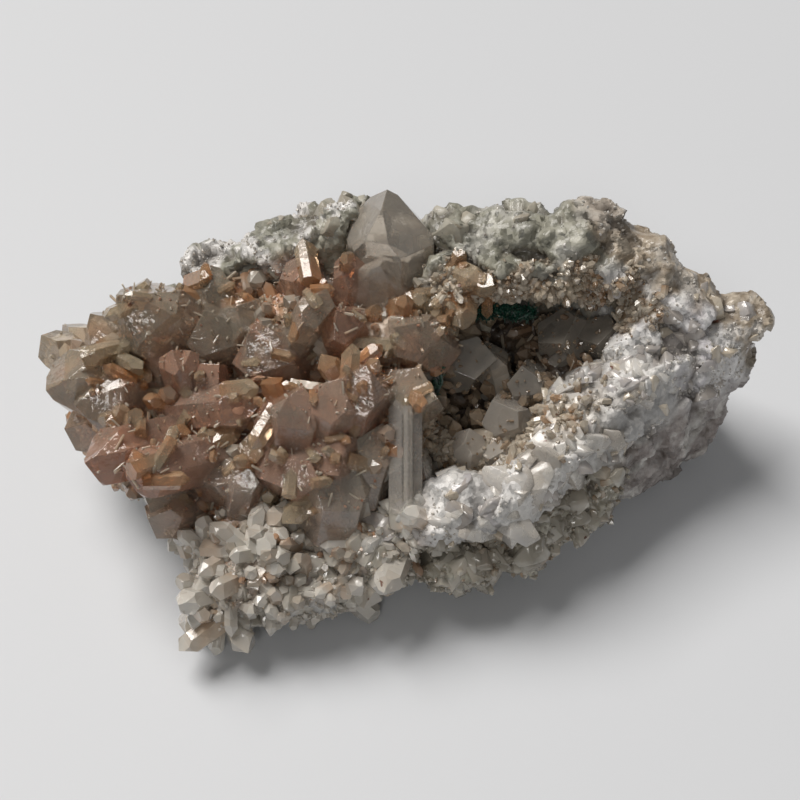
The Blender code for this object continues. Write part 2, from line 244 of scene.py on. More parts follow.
def piece_of(name, mesh, replaced=()):
    """An object that rides on the body and may stand for CAD nodes, which it hides."""
    made = bpy.data.objects.new(name, mesh)
    bpy.context.scene.collection.objects.link(made)
    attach(made, "root")
    if replaced:
        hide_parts(*replaced)
    return made


def finished(name, shape, finish, replaced=()):
    """A piece from a bmesh and its material."""
    mesh = bpy.data.meshes.new(name)
    shape.to_mesh(mesh)
    shape.free()
    mesh.materials.append(finish)
    return piece_of(name, mesh, replaced)


def corners_of(mesh):
    co = np.empty(len(mesh.vertices) * 3)
    mesh.vertices.foreach_get("co", co)
    return co.reshape(-1, 3)


def ramp(value, low, high):
    """0 below low, 1 above high, smooth between."""
    t = np.clip((value - low) / (high - low), 0, 1)
    return t * t * (3 - 2 * t)


def near_path(place, path):
    """Distance from a path of points."""
    nearest = np.full(len(place), 1e9)
    for start, end in zip(path[:-1], path[1:]):
        start, end = np.array(start, float), np.array(end, float)
        step = end - start
        along = np.clip(((place - start) @ step) / (step @ step), 0, 1)
        nearest = np.minimum(nearest, np.linalg.norm(place - start - along[:, None] * step, axis=1))
    return nearest


def facets(place, size, seed):
    """Height of broken facets: each cell of a Voronoi pattern is a plane tilted its own way."""
    heights = np.empty(len(place))
    for i, spot in enumerate(place / size + seed):
        middle = noise.voronoi(Vector(spot))[1][0]
        tilt = Vector(noise.cell_vector(middle * 37)) * 2 - Vector((1, 1, 1))
        heights[i] = (Vector(spot) - middle).dot(tilt)
    return heights * size


def beads(place, size, seed):
    """Height of rounded grains, from 0 between them to 1 on top."""
    return np.array([1 - noise.voronoi(Vector(spot))[0][0] ** 2 * 2.2 for spot in place / size + seed])


def octaves(place, size, count, seed):
    """Fractal noise from about -1 to 1 with features of this size."""
    return np.array([noise.fractal(Vector(spot), 0.8, 2.1, count) for spot in place / size + seed])


def keep(mesh, name, values):
    """Keeps one number for each corner of the mesh."""
    layer = mesh.attributes.new(name, "FLOAT", "POINT")
    layer.data.foreach_set("value", np.asarray(values, np.float32))


skin = bmesh.new()
skin.from_mesh(nodes["matrix_rock"].data)
bmesh.ops.remove_doubles(skin, verts=skin.verts, dist=1e-6)
hull(skin, BED, 0.5)
hull(skin, FACE_SLAB)
stones(skin, BED_LUMPS, 12, SKIN_GROWTH)
stones(skin, FRINGE_STONES, 16, SKIN_GROWTH)
stones(skin, HOLLOW_STONES, 14, SKIN_GROWTH)
stones(skin, LIP_STONES, 16, SKIN_GROWTH)
stones(skin, WHITE_STONES, 14, SKIN_GROWTH)
bmesh.ops.triangulate(skin, faces=skin.faces)
coarse = bpy.data.meshes.new("rock_and_crust")
skin.to_mesh(coarse)
skin.free()
rock = piece_of("rock_and_crust", coarse, ["matrix_rock"])
remesh = rock.modifiers.new("remesh", "REMESH")
remesh.mode = "VOXEL"
remesh.voxel_size = SKIN_MM * MM
fine = bpy.data.meshes.new_from_object(rock.evaluated_get(bpy.context.evaluated_depsgraph_get()))
rock.modifiers.clear()
rock.data = fine

WHITE_PATH = [(-1, -19.5, 14.5), (8, -18, 16), (15, -14.5, 18), (21, -10, 20), (28, -4.5, 22)]
LIP_PATH = [(2, 7, 27), (9, 8, 28.5), (16, 8.5, 29.5), (23, 8.5, 29.5), (30, 7, 28)]
LEDGE_PATH = [(-3, -21, 9), (8, -22, 8), (16, -19, 10), (24, -13, 12)]
FACE_PATH = [(29, 4, 27), (34, 2, 25), (41, 4, 23)]
TAN_PATH = [(27, 15, 35), (33, 13, 33), (40, 11, 29), (45, 9, 25), (49, 7, 22)]
CRACK_PATH = [
    (6, -22, 13),
    (10, -22, 12.2),
    (15, -19.8, 12.6),
    (19, -16.8, 14),
    (24, -12.8, 15.5),
    (30, -8, 17),
]
RUST_PATH = [(39.3, 5.6, 24.6), (41.6, 6.2, 24.4)]
LAYERS_ALONG = (0.75, 0.5, 0.43)
MELTING_ROUNDS = 12
FILLING_ROUNDS = 24

# How much of each region is at each corner of the skin, from 0 to 1.
place = corners_of(fine) / MM
x, y, z = place.T
region = {
    "cluster": ramp(-x, -4, 2) * ramp(z, 7, 13) * ramp(14 - y, 0, 3),
    "fringe": ramp(-x, -2, 2) * ramp(-y, 14.5, 17) * (1 - ramp(-y, 15, 17) * ramp(z, 17, 19)),
    "white": 1 - ramp(near_path(place, WHITE_PATH), 6, 10),
    "lip": 1 - ramp(near_path(place, LIP_PATH) + 3.4 * octaves(place, 4.0, 3, 8.1), 2.2, 4.6),
    "hollow": 1 - ramp(np.linalg.norm((place - (15, 0, 18)) / (16, 16, 13), axis=1), 0.75, 0.95),
    "ledge": 1 - ramp(near_path(place, LEDGE_PATH), 3.5, 7),
    "face": 1 - ramp(near_path(place, FACE_PATH), 5, 10),
    "tan": 1 - ramp(near_path(place, TAN_PATH) + 1.5 * octaves(place, 4.0, 3, 6.6), 3.7, 5.6),
    "ridge": ramp(y, 7, 9) * ramp(z, 14, 20),
    "rust": 1 - ramp(near_path(place, RUST_PATH) + 0.5 * octaves(place, 1.2, 2, 3.3), 0.7, 1.5),
}
crack_height = np.interp(x, [spot[0] for spot in CRACK_PATH], [spot[2] for spot in CRACK_PATH])
region["white"] *= ramp(z - crack_height, -0.5, 1.0)
region["rim"] = 0.6 * region["hollow"] * region["white"] * ramp(-y, 2, 5)
region["hollow"] *= 1 - region["white"]
region["porch"] = region["hollow"] * ramp(-y, 3, 7)
region["ledge"] *= (1 - region["white"]) * ramp(z, 2, 4)
region["dark"] = ramp(x, 18, 26) * ramp(20 - z + 0.25 * (x - 30), 0, 4) * (1 - region["tan"])
region["dark"] *= 1 - region["ledge"]
crack = 1 - ramp(near_path(place, CRACK_PATH) + 0.5 * octaves(place, 2.5, 3, 4.4), 0.35, 0.9)

# The crusts' stones are melted together before they are broken up, and their hollows fill.
ends = np.empty(len(fine.edges) * 2, np.int32)
fine.edges.foreach_get("vertices", ends)
ends = ends.reshape(-1, 2)
neighbours = np.bincount(ends.ravel(), minlength=len(place))
soft = region["white"] + region["face"] + 0.8 * region["ridge"] + region["lip"] + region["ledge"]
soft = np.clip(soft, 0, 1)
soft = np.maximum(soft, np.maximum(region["tan"], region["dark"])) * 0.7 * ramp(z, 1, 3)
for softness, rounds in ((soft, MELTING_ROUNDS), (0.9 * region["face"], FILLING_ROUNDS)):
    for _ in range(rounds):
        for axis in range(3):
            here = place[:, axis]
            total = np.bincount(ends[:, 0], here[ends[:, 1]], len(here))
            total += np.bincount(ends[:, 1], here[ends[:, 0]], len(here))
            place[:, axis] = here + softness * (total / neighbours - here)

fine.vertices.foreach_set("co", (place * MM).ravel())
fine.update()
normals = np.empty(len(place) * 3)
fine.vertex_normals.foreach_get("vector", normals)
normals = normals.reshape(-1, 3)

broken = facets(place, 6.5, 3.1)
splinters = facets(place, 2.6, 8.7)
chips = facets(place, 1.8, 4.9)
lumps = octaves(place, 4.0, 4, 1.7)
sugar = octaves(place, 0.9, 2, 5.2)
grains = beads(place, 1.25, 2.9)
crusty = np.clip(region["cluster"] + region["fringe"] + region["hollow"], 0, 1)
height = (0.34 + 0.3 * region["face"]) * broken * (1 - 0.7 * crusty)
height += (0.34 - 0.12 * crusty) * splinters
height += 0.18 * chips + 0.1 * lumps + 0.04 * sugar
height *= 1 - 0.55 * region["white"]
height += 0.4 * (grains - 0.5) * np.clip(region["lip"] + 0.3 * region["hollow"], 0, 1)
height *= 1 - 0.45 * region["dark"] - 0.4 * region["tan"]
height -= 1.1 * crack
height *= ramp(z, 0.3, 1.5)
moved = place + normals * np.clip(height, -1.5, 1.0)[:, None]
moved[:, 2] = np.maximum(moved[:, 2], ABOVE_TABLE)
fine.vertices.foreach_set("co", (moved * MM).ravel())
fine.update()
patches = ramp(octaves(place, 6.0, 3, 9.3), -0.3, 0.3)
region["stain"] = region["cluster"] * (0.35 + 0.65 * patches)
turned = np.array(Vector(LAYERS_ALONG).to_track_quat("X", "Z").to_matrix())
layered = place @ turned * (0.22, 1, 1)
region["streak"] = region["dark"] * ramp(octaves(layered, 2.2, 4, 7.7), 0.05, 0.45)
snowy = ramp(octaves(place, 5.0, 5, 2.2), -0.05, 0.2)
snow_on_ridge = 0.25 + 0.85 * ramp(-x, 0, 12) + 0.3 * ramp(-x, 10, 22)
snow = snow_on_ridge * region["ridge"] + 0.7 * region["white"] + 0.7 * region["face"]
region["snow"] = snowy * np.clip(snow, 0, 1)
region["icy"] = np.maximum(region["white"], 0.7 * region["fringe"])
region["pit"] = np.clip(-1.1 * height + crack, 0, 1)
for name, values in region.items():
    keep(fine, name, values)
fine.shade_smooth()


# The rock's finish: grey quartz mottled with lilac and white, tan dust at the tip, cream at the hollow's
# lip, icy white along its lower rim, rust under the smoky crystals, painted shade near black in the
# hollow, and painted shade darkening every pit and crack.
def new_group(name, inputs, outputs):
    """A node group with these named sockets, and its input and output nodes."""
    made = bpy.data.node_groups.new(name, "ShaderNodeTree")
    kinds = {"number": "NodeSocketFloat", "colour": "NodeSocketColor", "normal": "NodeSocketVector"}
    for socket, kind in inputs:
        made.interface.new_socket(socket, in_out="INPUT", socket_type=kinds[kind])
    for socket, kind in outputs:
        made.interface.new_socket(socket, in_out="OUTPUT", socket_type=kinds[kind])
    return made, made.nodes.new("NodeGroupInput"), made.nodes.new("NodeGroupOutput")


def blend(tree, amount, low, high):
    """A colour between low and high."""
    made = tree.nodes.new("ShaderNodeMix")
    made.data_type = "RGBA"
    for index, value in ((0, amount), (6, low), (7, high)):
        connect(tree, value, made.inputs[index])
    return made.outputs[2]


def levels(tree, value, low, high, bottom=0.0, top=1.0):
    """The value's run from low to high, spread over bottom to top."""
    made = node(tree, "MapRange", Value=value, From_Min=low, From_Max=high, To_Min=bottom, To_Max=top)
    return made.outputs[0]


def reckon(tree, operation, *values):
    made = node(tree, "Math", {"operation": operation})
    for index, value in enumerate(values):
        connect(tree, value, made.inputs[index])
    return made.outputs[0]


def kept(tree, name):
    """The number kept on the mesh's corners under this name."""
    return node(tree, "Attribute", {"attribute_name": name}).outputs["Fac"]


mottle, given, put = new_group(
    "mottle",
    [
        ("Size", "number"),
        ("Shift", "number"),
        ("Start", "number"),
        ("End", "number"),
        ("Low", "colour"),
        ("High", "colour"),
    ],
    [("Colour", "colour"), ("Amount", "number")],
)
spot = node(mottle, "VectorMath", {"operation": "ADD"})
mottle.links.new(node(mottle, "TexCoord").outputs["Object"], spot.inputs[0])
mottle.links.new(given.outputs["Shift"], spot.inputs[1])
scale = reckon(mottle, "DIVIDE", 1000.0, given.outputs["Size"])
cloud = node(mottle, "TexNoise", Vector=spot.outputs[0], Scale=scale, Detail=2.5, Roughness=0.6)
amount = levels(mottle, cloud.outputs["Fac"], given.outputs["Start"], given.outputs["End"])
mottle.links.new(amount, put.inputs["Amount"])
patchy = blend(mottle, amount, given.outputs["Low"], given.outputs["High"])
mottle.links.new(patchy, put.inputs["Colour"])


def mottled(tree, size, low=(0, 0, 0), high=(1, 1, 1), start=0.4, end=0.62, shift=0.0):
    """The mottle group placed in a material: patches of two colours, and the share of the second."""
    values = {"Size": size, "Shift": shift, "Start": start, "End": end, "Low": low, "High": high}
    made = node(tree, "Group", {"node_tree": mottle}, **values)
    return made.outputs["Colour"], made.outputs["Amount"]


grains, given, put = new_group(
    "crystal grains",
    [("Size", "number"), ("Tilt", "number"), ("Normal", "normal")],
    [("Amount", "number"), ("Normal", "normal")],
)
spot = node(grains, "TexCoord").outputs["Object"]
scale = reckon(grains, "DIVIDE", 1000.0, given.outputs["Size"])
cells = node(grains, "TexVoronoi", Vector=spot, Scale=scale)
centred = node(grains, "VectorMath", {"operation": "SUBTRACT"})
grains.links.new(cells.outputs["Color"], centred.inputs[0])
centred.inputs[1].default_value = (0.5, 0.5, 0.5)
leaning = node(grains, "VectorMath", {"operation": "SCALE"}, Vector=centred.outputs[0])
grains.links.new(given.outputs["Tilt"], leaning.inputs["Scale"])
tilted = node(grains, "VectorMath", {"operation": "ADD"})
grains.links.new(leaning.outputs[0], tilted.inputs[0])
grains.links.new(given.outputs["Normal"], tilted.inputs[1])
unit = node(grains, "VectorMath", {"operation": "NORMALIZE"}, Vector=tilted.outputs[0])
grains.links.new(unit.outputs[0], put.inputs["Normal"])
parted = node(grains, "SeparateColor", Color=cells.outputs["Color"])
grains.links.new(parted.outputs[1], put.inputs["Amount"])


def grained(tree, size, tilt, normal):
    """The grains group placed in a material: each grain's shade from 0 to 1, and its tilted face."""
    made = node(tree, "Group", {"node_tree": grains}, Size=size, Tilt=tilt, Normal=normal)
    return made.outputs["Amount"], made.outputs["Normal"]


rock_finish, tree, shader = new_material("broken rock")
_, broad = mottled(tree, 7.0)
_, spotty = mottled(tree, 2.2, start=0.42, end=0.6, shift=15.0)
_, dust = mottled(tree, 0.55, start=0.3, end=0.7, shift=6.0)
coarse_grain, faces = grained(tree, 2.1, 0.45, node(tree, "NewGeometry").outputs["Normal"])
fine_grain, faces = grained(tree, 0.7, 0.6, faces)
FINISHES = [
    ("ridge", broad, (0.23, 0.225, 0.18), (0.36, 0.35, 0.29)),
    ("dark", spotty, (0.21, 0.175, 0.16), (0.40, 0.36, 0.34)),
    ("streak", spotty, (0.50, 0.47, 0.44), (0.60, 0.58, 0.55)),
    ("face", spotty, (0.60, 0.58, 0.60), (0.84, 0.83, 0.825)),
    ("tan", spotty, (0.28, 0.225, 0.165), (0.48, 0.415, 0.33)),
    ("lip", spotty, (0.26, 0.185, 0.12), (0.60, 0.51, 0.40)),
    ("ledge", spotty, (0.26, 0.235, 0.18), (0.50, 0.475, 0.40)),
    ("icy", broad, (0.46, 0.455, 0.45), (0.71, 0.695, 0.67)),
    ("snow", spotty, (0.64, 0.625, 0.605), (0.80, 0.785, 0.765)),
    ("rim", spotty, (0.56, 0.48, 0.38), (0.80, 0.74, 0.65)),
    ("stain", spotty, (0.36, 0.15, 0.065), (0.72, 0.47, 0.30)),
    # Painted shade: the hollow's floor and walls are painted near black, where shade falls.
    ("hollow", spotty, (0.016, 0.011, 0.008), (0.08, 0.055, 0.036)),
    ("porch", spotty, (0.30, 0.21, 0.13), (0.68, 0.57, 0.43)),
    ("rust", spotty, (0.16, 0.045, 0.025), (0.30, 0.10, 0.06)),
]
colour = blend(tree, broad, (0.26, 0.25, 0.21), (0.43, 0.41, 0.355))
colour = blend(tree, reckon(tree, "MULTIPLY", spotty, 0.3), colour, (0.62, 0.59, 0.53))
for name, amount, low, high in FINISHES:
    colour = blend(tree, kept(tree, name), colour, blend(tree, amount, low, high))
# Painted shade: pits and the crack are darkened to a near-black brown.
pit_shade = reckon(tree, "MULTIPLY", kept(tree, "pit"), 0.8)
colour = blend(tree, pit_shade, colour, (0.085, 0.065, 0.05))
shade = reckon(tree, "ADD", coarse_grain, fine_grain)
shade = levels(tree, shade, 0.2, 1.8, 0.74, 1.22)
shaded = node(tree, "VectorMath", {"operation": "SCALE"}, Vector=colour, Scale=shade)
connect(tree, shaded.outputs[0], shader.inputs["Base Color"])
connect(tree, levels(tree, fine_grain, 0.0, 1.0, 0.2, 0.65), shader.inputs["Roughness"])
relief = node(tree, "Bump", Height=dust, Strength=0.35, Distance=0.0002, Normal=faces)
connect(tree, relief.outputs[0], shader.inputs["Normal"])
shader.inputs["Coat Weight"].default_value = 0.35
shader.inputs["Coat Roughness"].default_value = 0.15
fine.materials.clear()
fine.materials.append(rock_finish)


# Large crystals: six-sided prisms of smoky quartz with pointed tips, grown on the rock. A row is one
# crystal's foot, heading, rise, length, width, thickness and roll. They are the solids' blocks with
# rounded edges, painted pale along them as a highlight, and their corners keep the tint and painted
# shade, the stain, the painted light and reflections, and the height along the crystal.
TIP_SLOPE = 51.8
ROOT = 3
SHORT_CRYSTAL = 9.2
LEFT_END_CRYSTALS = [
    ((-44, 5.5, 15), 165, 45, 9, 5.5, 5, 10),
    ((-38.5, 6.5, 17.5), 175, 65, 9.5, 6.5, 5, 25),
    ((-30.5, 6.5, 21), -170, 55, 13, 11, 9, 15),
    ((-37, 5, 16.5), -140, 25, 15, 10, 8, 0),
    ((-35, 0.5, 15.5), -140, 35, 13, 9, 7.5, 30),
    ((-32, -7.5, 16), -135, 32, 14, 7.5, 6.5, 10),
    ((-23, -8, 15.5), -140, 27, 17.5, 6.5, 6, 0),
    ((-26, -9, 15), -135, 26, 11.5, 5.5, 5, 20),
    ((-40, -2.5, 13), -155, 28, 7.5, 6.5, 6, 0),
    ((-43, 8, 15), 145, 25, 7.5, 5, 5, 15),
]
MIDDLE_CRYSTALS = [
    ((-33, 0.5, 16.5), 100, 70, 9, 5, 4.5, 0),
    ((-29.5, -2, 18), 120, 75, 9, 5, 4, 20),
    ((-29.5, -2, 18), 55, 75, 9, 3.5, 2.5, 45),
    ((-28, -2, 18), 5, 65, 8.5, 4.5, 4, 10),
    ((-29.5, -3.5, 18), -20, 30, 13, 6.5, 6, 30),
    ((-37.5, 0.5, 17), 85, 75, 7, 4.5, 4, 0),
    ((-17, 1, 21), 170, 75, 10, 9.5, 8.5, 20),
    ((-20.5, -2, 18), -5, 65, 7, 5, 4.5, 0),
    ((-15, 2, 24), 15, 65, 12, 6.5, 4, 40),
    ((-7.5, 2.5, 26), -145, 75, 7, 6.5, 5.5, 10),
    ((-25, 5.5, 20), -165, 80, 9, 8.5, 7, 0),
    ((-21, 6.5, 22), -130, 75, 8, 6.5, 6, 20),
    ((-14.5, 10.5, 26.5), -45, 70, 7, 6, 5, 0),
    ((-8, 8, 27.5), 60, 70, 7, 6, 5, 30),
    ((-33, 9.5, 19.5), 130, 65, 7, 5.5, 5, 0),
    ((-26, 10, 23), 110, 60, 7, 6, 5, 25),
]
RIGHT_CRYSTALS = [
    ((-16, -8.5, 18.5), -160, 75, 8.5, 4.5, 4, 0),
    ((-15.5, -11, 17.5), 40, 75, 13, 7.5, 7, 20),
    ((-11, -10, 18.5), 30, 75, 13, 7, 6.5, 0),
    ((-7, -7.5, 20), 20, 80, 12, 8.5, 7.5, 30),
    ((-11, -8, 18.5), -75, 25, 11, 7.5, 7, 0),
    ((-19, -11, 17), -40, 25, 12, 6.5, 6, 15),
    ((-27, -11, 12.5), -30, 40, 9.5, 6.5, 5.5, 0),
    ((-29.5, -13, 11), -145, 50, 8.5, 5.5, 5, 20),
    ((-28.5, -14, 9.5), -135, 40, 9, 6, 5.5, 0),
    ((2.5, 2, 25), -150, 55, 8, 7.5, 6.5, 10),
    ((-2, -3.5, 21), -35, 35, 9, 8, 7, 0),
    ((-22, -16, 12), 35, 75, 9, 4.5, 4, 20),
    ((-10, -16, 14.5), 60, 68, 9.5, 10, 9.5, 10),
    ((-5, -13, 16.5), 60, 60, 8, 7, 6.5, 0),
]


def crystal_planes(length, width, thickness, dice, root, flat_tips=False):
    """The side and tip planes of a six-sided crystal that stands on the origin."""
    six_faced = length > SHORT_CRYSTAL or flat_tips
    lean = math.radians(TIP_SLOPE)
    planes = [(Vector((0, 0, -1)), root)]
    for side in range(6):
        turn = math.radians(30 + 60 * side)
        out = Vector((math.cos(turn), math.sin(turn), 0))
        across = thickness if side % 3 == 1 else width
        planes.append((out, across / 2 * dice.uniform(0.86, 1.06)))
        top = Vector((out.x * math.sin(lean), out.y * math.sin(lean), math.cos(lean)))
        height = length if side % 2 else length * dice.uniform(1.02, 1.14)
        if side % 2 or six_faced:
            planes.append((top, height * math.cos(lean)))
    return planes


def block_of(planes, reach):
    """The block that the planes leave of a cube of twice this reach."""
    block = bmesh.new()
    bmesh.ops.create_cube(block, size=2 * reach)
    for normal, distance in planes:
        made = bmesh.ops.bisect_plane(
            block,
            geom=block.verts[:] + block.edges[:] + block.faces[:],
            dist=1e-4 * reach,
            plane_co=normal * distance,
            plane_no=normal,
            clear_outer=True,
        )
        rim = [edge for edge in made["geom_cut"] if isinstance(edge, bmesh.types.BMEdge)]
        bmesh.ops.holes_fill(block, edges=rim)
    bmesh.ops.remove_doubles(block, verts=block.verts, dist=0.004 * reach)
    return block


SMALLEST_FLAT = 12


def round_edges(block, offset, inset):
    """Rounds a block's edges, marks them in the layer edge for a painted highlight, and gives back its
    flats.
    """
    layer = block.verts.layers.float.new("edge")
    flats = block.faces[:]
    bmesh.ops.bevel(
        block,
        geom=block.edges[:],
        offset=offset,
        segments=2,
        profile=0.5,
        affect="EDGES",
        clamp_overlap=True,
        material=-1,
    )
    for vert in block.verts:
        vert[layer] = 1
    smallest = SMALLEST_FLAT * inset * inset
    flats = [face for face in flats if face.is_valid and face.calc_area() > smallest]
    bmesh.ops.inset_individual(block, faces=flats, thickness=inset, use_even_offset=True)
    for face in flats:
        for vert in face.verts:
            vert[layer] = 0
    return flats


GLINT_FACE_SHARE = 0.13
FRONT_PAINTED_LIGHT = 0.4
STAIN_PATH = [(-30, -5, 16), (-20, -8, 17), (-10, -4, 21), (-6, 4, 25), (-12, 9, 26)]


def crystals(name, rows, replaced, finish, first_seed=500, shades=(-60, -50, 1)):
    """Large crystals as one mesh, each cut from the planes that its row gives.

    From the first of the shades, a depth, to the second they turn from painted light, paler at the
    front, to a random tint that is also painted shade, darker behind. The third says how strong the tint
    and painted shade are. A share of each crystal's flats is painted white as reflections.
    """
    pile = bmesh.new()
    for number, row in enumerate(rows):
        foot, heading, rise, length, width, thickness, roll = row
        dice = random.Random(first_seed + number)
        block = block_of(crystal_planes(length, width, thickness, dice, ROOT), 2.5 * length)
        names = ("along", "rise", "tint_and_shade", "own_stain", "painted_light")
        layers = {key: block.verts.layers.float.new(key) for key in names}
        rounding = min(0.07, 0.014 * width)
        border = min(0.2, 0.04 * width)
        flats = round_edges(block, rounding, border)
        depth = ramp(foot[1], shades[0], shades[1])
        # Painted light: crystals towards the front are painted paler.
        for vert in block.verts:
            vert[layers["painted_light"]] = FRONT_PAINTED_LIGHT * (1 - depth)
        # Painted reflections: a share of the flats is painted near white.
        for face in flats:
            if dice.random() < GLINT_FACE_SHARE:
                for vert in face.verts:
                    vert[layers["painted_light"]] = 1
        # A random tint, and towards the back painted shade as well.
        tint_and_shade = dice.random() * shades[2] * depth
        far = near_path(np.array([foot]), STAIN_PATH)[0]
        own_stain = 0.45 * dice.random() + 0.8 * (1 - ramp(far, 2, 11))
        for vert in block.verts:
            vert[layers["along"]] = vert.co.z
            vert[layers["rise"]] = vert.co.z / length
            vert[layers["tint_and_shade"]] = tint_and_shade
            vert[layers["own_stain"]] = own_stain
        turned = Matrix.Rotation(math.radians(heading), 4, "Z")
        turned = turned @ Matrix.Rotation(math.radians(90 - rise), 4, "Y")
        rolled = Matrix.Rotation(math.radians(roll), 4, "Z")
        placed = Matrix.Scale(MM, 4) @ Matrix.Translation(foot) @ turned @ rolled
        bmesh.ops.transform(block, matrix=placed, verts=block.verts)
        single = bpy.data.meshes.new("single")
        block.to_mesh(single)
        block.free()
        pile.from_mesh(single)
        bpy.data.meshes.remove(single)
    return finished(name, pile, finish, replaced)


growth, given, put = new_group(
    "crystal growth",
    [
        ("Clear", "colour"),
        ("Cloudy", "colour"),
        ("Stained", "colour"),
        ("Stain Start", "number"),
        ("Stain End", "number"),
        ("Smooth", "number"),
        ("Dark", "number"),
    ],
    [("Colour", "colour"), ("Roughness", "number"), ("Normal", "normal")],
)
BREAK_MM = 3.4
break_shade, break_face = grained(growth, BREAK_MM, 0.22, node(growth, "NewGeometry").outputs["Normal"])
tint_and_shade = kept(growth, "tint_and_shade")
_, clouds = mottled(growth, 5.0, start=0.35, end=0.68, shift=2.0)
_, veil = mottled(growth, 1.3, start=0.35, end=0.7, shift=5.0)
# Tint and painted shade darken towards a dull brown.
tint_and_shade_share = reckon(growth, "MULTIPLY", tint_and_shade, 0.35)
shaded = blend(growth, tint_and_shade_share, given.outputs["Clear"], (0.22, 0.20, 0.15))
shaded = blend(growth, reckon(growth, "MULTIPLY", clouds, 0.6), shaded, given.outputs["Cloudy"])
shaded = blend(growth, reckon(growth, "MULTIPLY", veil, 0.27), shaded, (0.97, 0.87, 0.70))
shaded = blend(growth, reckon(growth, "MULTIPLY", break_shade, 0.38), shaded, (0.34, 0.25, 0.165))
reach = reckon(growth, "ADD", kept(growth, "own_stain"), reckon(growth, "MULTIPLY", clouds, 0.5))
reach = reckon(growth, "SUBTRACT", reach, reckon(growth, "MULTIPLY", kept(growth, "rise"), 0.35))
stain = levels(growth, reach, given.outputs["Stain Start"], given.outputs["Stain End"])
shaded = blend(growth, stain, shaded, given.outputs["Stained"])
specks = levels(growth, reckon(growth, "MULTIPLY", veil, clouds), 0.80, 0.86)
shaded = blend(growth, reckon(growth, "MULTIPLY", specks, 0.8), shaded, (0.20, 0.05, 0.025))
low_down = levels(growth, kept(growth, "rise"), 0.8, 0.1, 0.0, 0.5)
depth = reckon(growth, "ADD", levels(growth, clouds, 1.0, 0.0), low_down)
depth = reckon(growth, "SUBTRACT", 1.0, reckon(growth, "MULTIPLY", depth, given.outputs["Dark"]))
shaded = node(growth, "VectorMath", {"operation": "SCALE"}, Vector=shaded, Scale=depth).outputs[0]
# Painted highlight: the rounded edges are painted pale.
edge_highlight = reckon(growth, "MULTIPLY", kept(growth, "edge"), 0.45)
shaded = blend(growth, edge_highlight, shaded, (0.95, 0.89, 0.81))
# Painted light and reflections: paler towards the front and white on the chosen flats.
painted_light_share = reckon(growth, "MULTIPLY", kept(growth, "painted_light"), 0.75)
shaded = blend(growth, painted_light_share, shaded, (0.95, 0.93, 0.90))
growth.links.new(shaded, put.inputs["Colour"])
dull = reckon(growth, "MULTIPLY", given.outputs["Smooth"], levels(growth, veil, 0.0, 1.0, 0.6, 1.5))
growth.links.new(dull, put.inputs["Roughness"])
steps = node(growth, "CombineXYZ", X=tint_and_shade, Z=kept(growth, "along")).outputs[0]
lines = node(growth, "TexNoise", Vector=steps, Scale=3.2, Detail=2.0, Roughness=0.6).outputs["Fac"]
relief = node(growth, "Bump", Height=lines, Strength=0.25, Distance=0.0001, Normal=break_face)
relief = node(growth, "Bump", Height=veil, Strength=0.14, Distance=0.0003, Normal=relief.outputs[0])
growth.links.new(relief.outputs[0], put.inputs["Normal"])


def crystal_finish(
    name,
    clear,
    cloudy,
    stained,
    stain_span,
    smooth,
    transmission,
    absorbed=None,
    density=0,
    coat=0.6,
    dark=0.0,
):
    """Translucent crystal: the growth group's colour, gloss and relief, and plain transmission."""
    made, tree, shader = new_material(name)
    values = {"Clear": clear, "Cloudy": cloudy, "Stained": stained, "Smooth": smooth, "Dark": dark}
    values["Stain_Start"], values["Stain_End"] = stain_span
    look = node(tree, "Group", {"node_tree": growth}, **values)
    connect(tree, look.outputs["Colour"], shader.inputs["Base Color"])
    connect(tree, look.outputs["Roughness"], shader.inputs["Roughness"])
    connect(tree, look.outputs["Normal"], shader.inputs["Normal"])
    shader.inputs["Transmission Weight"].default_value = transmission
    shader.inputs["IOR"].default_value = 1.54
    shader.inputs["Coat Weight"].default_value = coat
    shader.inputs["Coat Roughness"].default_value = 0.04
    if density:
        dim = node(tree, "VolumeAbsorption", Color=absorbed, Density=density)
        tree.links.new(dim.outputs[0], tree.nodes["Material Output"].inputs["Volume"])
    return made


smoky = crystal_finish(
    "smoky crystal",
    clear=(0.98, 0.76, 0.40),
    cloudy=(1.0, 0.83, 0.48),
    stained=(0.90, 0.28, 0.045),
    stain_span=(0.06, 0.9),
    smooth=0.045,
    transmission=0.70,
    absorbed=(0.90, 0.61, 0.28),
    density=60,
    coat=0.45,
    dark=0.38,
)
grey_quartz = crystal_finish(
    "grey crystal",
    clear=(0.84, 0.76, 0.64),
    cloudy=(0.90, 0.84, 0.74),
    stained=(0.80, 0.42, 0.20),
    stain_span=(0.3, 1.2),
    smooth=0.12,
    transmission=0.7,
    absorbed=(0.78, 0.70, 0.60),
    density=60,
)
clear_quartz = crystal_finish(
    "clear crystal",
    clear=(0.97, 0.94, 0.88),
    cloudy=(0.99, 0.97, 0.94),
    stained=(0.70, 0.50, 0.34),
    stain_span=(1.1, 1.6),
    smooth=0.05,
    transmission=0.72,
    absorbed=(0.90, 0.85, 0.80),
    density=15,
)
cluster_rows = LEFT_END_CRYSTALS + MIDDLE_CRYSTALS + RIGHT_CRYSTALS
crystals(
    "smoky_crystals",
    cluster_rows,
    replaced=["crystal_cluster"],
    finish=smoky,
    shades=(-17, -8, 1),
)


